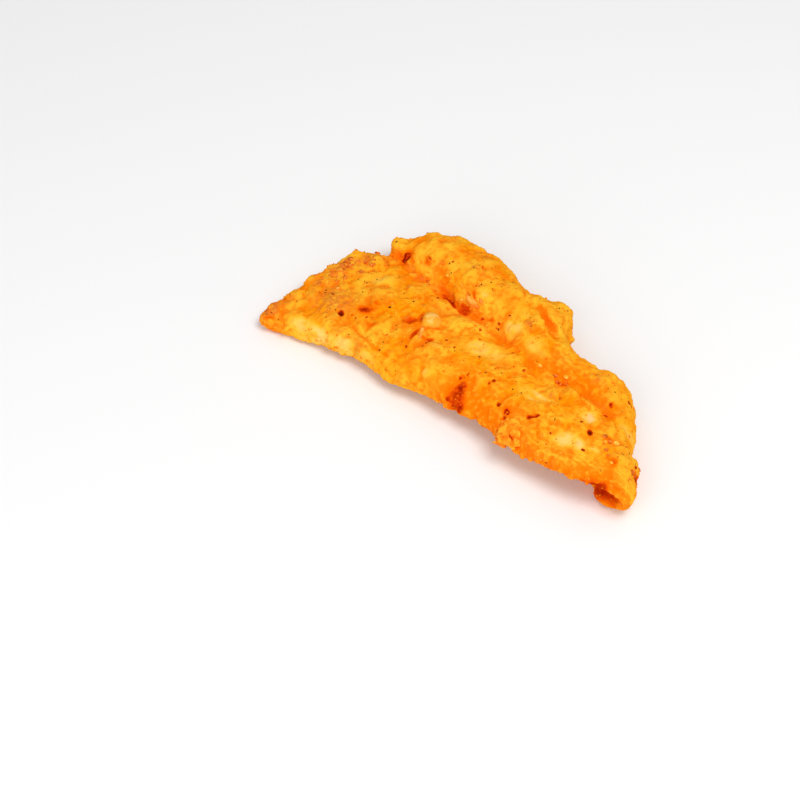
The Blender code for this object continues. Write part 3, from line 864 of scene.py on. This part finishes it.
# Batter crumbs: grains of flour dough that fried hard on the skin, most of them along the rim.
CRUMB_COUNT = 1500
CRUMB_SIZE = 0.4, 1.6


def near_rim(centres, facing):
    """Crumbs catch where the skin turns over at the rim, and few lie on the top."""
    rim = np.exp(-((facing[:, 2] / 0.45) ** 2))
    caked = ellipse(centres, 52, -34, 16, 5, 5) + ellipse(centres, -88, -2, 6, 12, 10)
    return 0.2 + 0.7 * rim * (1 + (centres[:, 1] < 0)) + 3.0 * caked


crumbs = bmesh.new()
add_scattered(crumbs, CRUMB_COUNT, CRUMB_SIZE, 2.6, (0.6, 0.95), 0.6, 0.35, draws, 0.7, near_rim)
CRUMB_DARK = 0.93, 0.19, 0.003, 1
CRUMB_LIGHT = 1.0, 0.40, 0.025, 1
finish_chips("batter_crumbs", crumbs, mottled_material("fried dough crumbs", CRUMB_DARK, CRUMB_LIGHT, 6, 0.6))


# Browned crumbs: the same flour where it stood proud of the oil's foam and fried too long, mostly on the
# head end's edge, round the groove and at the tail.
BROWNED_COUNT = 110
BROWNED_SIZE = 0.8, 3.0
# Where they lie, as (x, y, half length, half width, turn, share).
BROWNED_PLACES = (
    (-89.0, -3.0, 5.0, 8.0, 15, 1.0), (-82.0, 8.0, 4.0, 6.0, 30, 0.5), (-92.0, -18.0, 3.0, 8.0, 10, 0.3),
    (-57.0, 14.8, 5.0, 1.6, 6, 0.6), (37.6, 6.4, 3.6, 2.4, 10, 0.5), (78.0, -8.0, 4.0, 3.0, 10, 0.4),
    (85.4, -15.2, 3.0, 2.4, 0, 0.6), (93.0, -8.0, 2.6, 5.0, 0, 0.6),
)


def fried_longest(centres, facing):
    return patches_at(BROWNED_PLACES, centres) * (facing[:, 2] > -0.2)


browned = bmesh.new()
add_scattered(browned, BROWNED_COUNT, BROWNED_SIZE, 2.0, (0.5, 0.9), 0.5, 0.35, draws, 0.9, fried_longest)
BROWNED_DARK = 0.62, 0.100, 0.008, 1
BROWNED_LIGHT = 0.92, 0.28, 0.035, 1
browned_material = mottled_material("browned crumbs", BROWNED_DARK, BROWNED_LIGHT, 1.6, 0.6)
finish_chips("browned_crumbs", browned, browned_material)


# The table: a plain pale sheet under the fillet.
TABLE_COLOUR = 0.9, 0.9, 0.9, 1
TABLE_SIZE = 6
TABLE_GAP = 0.02 * MM
deselect_all()
bpy.ops.mesh.primitive_plane_add(size=TABLE_SIZE, location=(0, 0, -TABLE_GAP))
table = bpy.context.object
table.name = "table_top"
table_material = bpy.data.materials.new("pale table")
table_material.use_nodes = True
table_shader = table_material.node_tree.nodes["Principled BSDF"]
table_shader.inputs["Base Color"].default_value = TABLE_COLOUR
table_shader.inputs["Roughness"].default_value = 0.9
table_shader.inputs["Specular IOR Level"].default_value = 0.1
table.data.materials.append(table_material)


# The light: a bright studio with white walls, a wide soft box overhead and a weaker one by the camera.
STUDIO_STRENGTH = 0.5
world = bpy.data.worlds.new("studio")
bpy.context.scene.world = world
world.use_nodes = True
world.node_tree.nodes["Background"].inputs["Color"].default_value = (1, 1, 1, 1)
world.node_tree.nodes["Background"].inputs["Strength"].default_value = STUDIO_STRENGTH


def direction(azimuth, elevation):
    """Points from the fillet to a place seen at an azimuth and an elevation, in degrees."""
    a, e = math.radians(azimuth), math.radians(elevation)
    return Vector((math.sin(a) * math.cos(e), -math.cos(a) * math.cos(e), math.sin(e)))


def add_softbox(name, azimuth, elevation, distance, size, power):
    away = direction(azimuth, elevation)
    deselect_all()
    bpy.ops.object.light_add(type="AREA", location=away * distance)
    light = bpy.context.object
    light.name = name
    light.data.size = size
    light.data.energy = power
    light.rotation_mode = "QUATERNION"
    light.rotation_quaternion = away.to_track_quat("Z", "Y")


add_softbox("key_softbox", azimuth=80, elevation=66, distance=1.5, size=0.7, power=12)
add_softbox("fill_softbox", azimuth=20, elevation=30, distance=1.5, size=1.2, power=8)


# The camera, at the photograph's viewing angle.
CAMERA_AZIMUTH = 44
CAMERA_ELEVATION = 48
CAMERA_DISTANCE = 0.95
CAMERA_LENS = 95
CAMERA_AIM = Vector((-0.01853, -0.0383, 0.0015))
away = direction(CAMERA_AZIMUTH, CAMERA_ELEVATION)
deselect_all()
bpy.ops.object.camera_add(location=CAMERA_AIM + away * CAMERA_DISTANCE)
camera = bpy.context.object
camera.data.lens = CAMERA_LENS
camera.rotation_mode = "QUATERNION"
camera.rotation_quaternion = away.to_track_quat("Z", "Y")
bpy.context.scene.camera = camera
bpy.context.scene.view_settings.view_transform = "Standard"
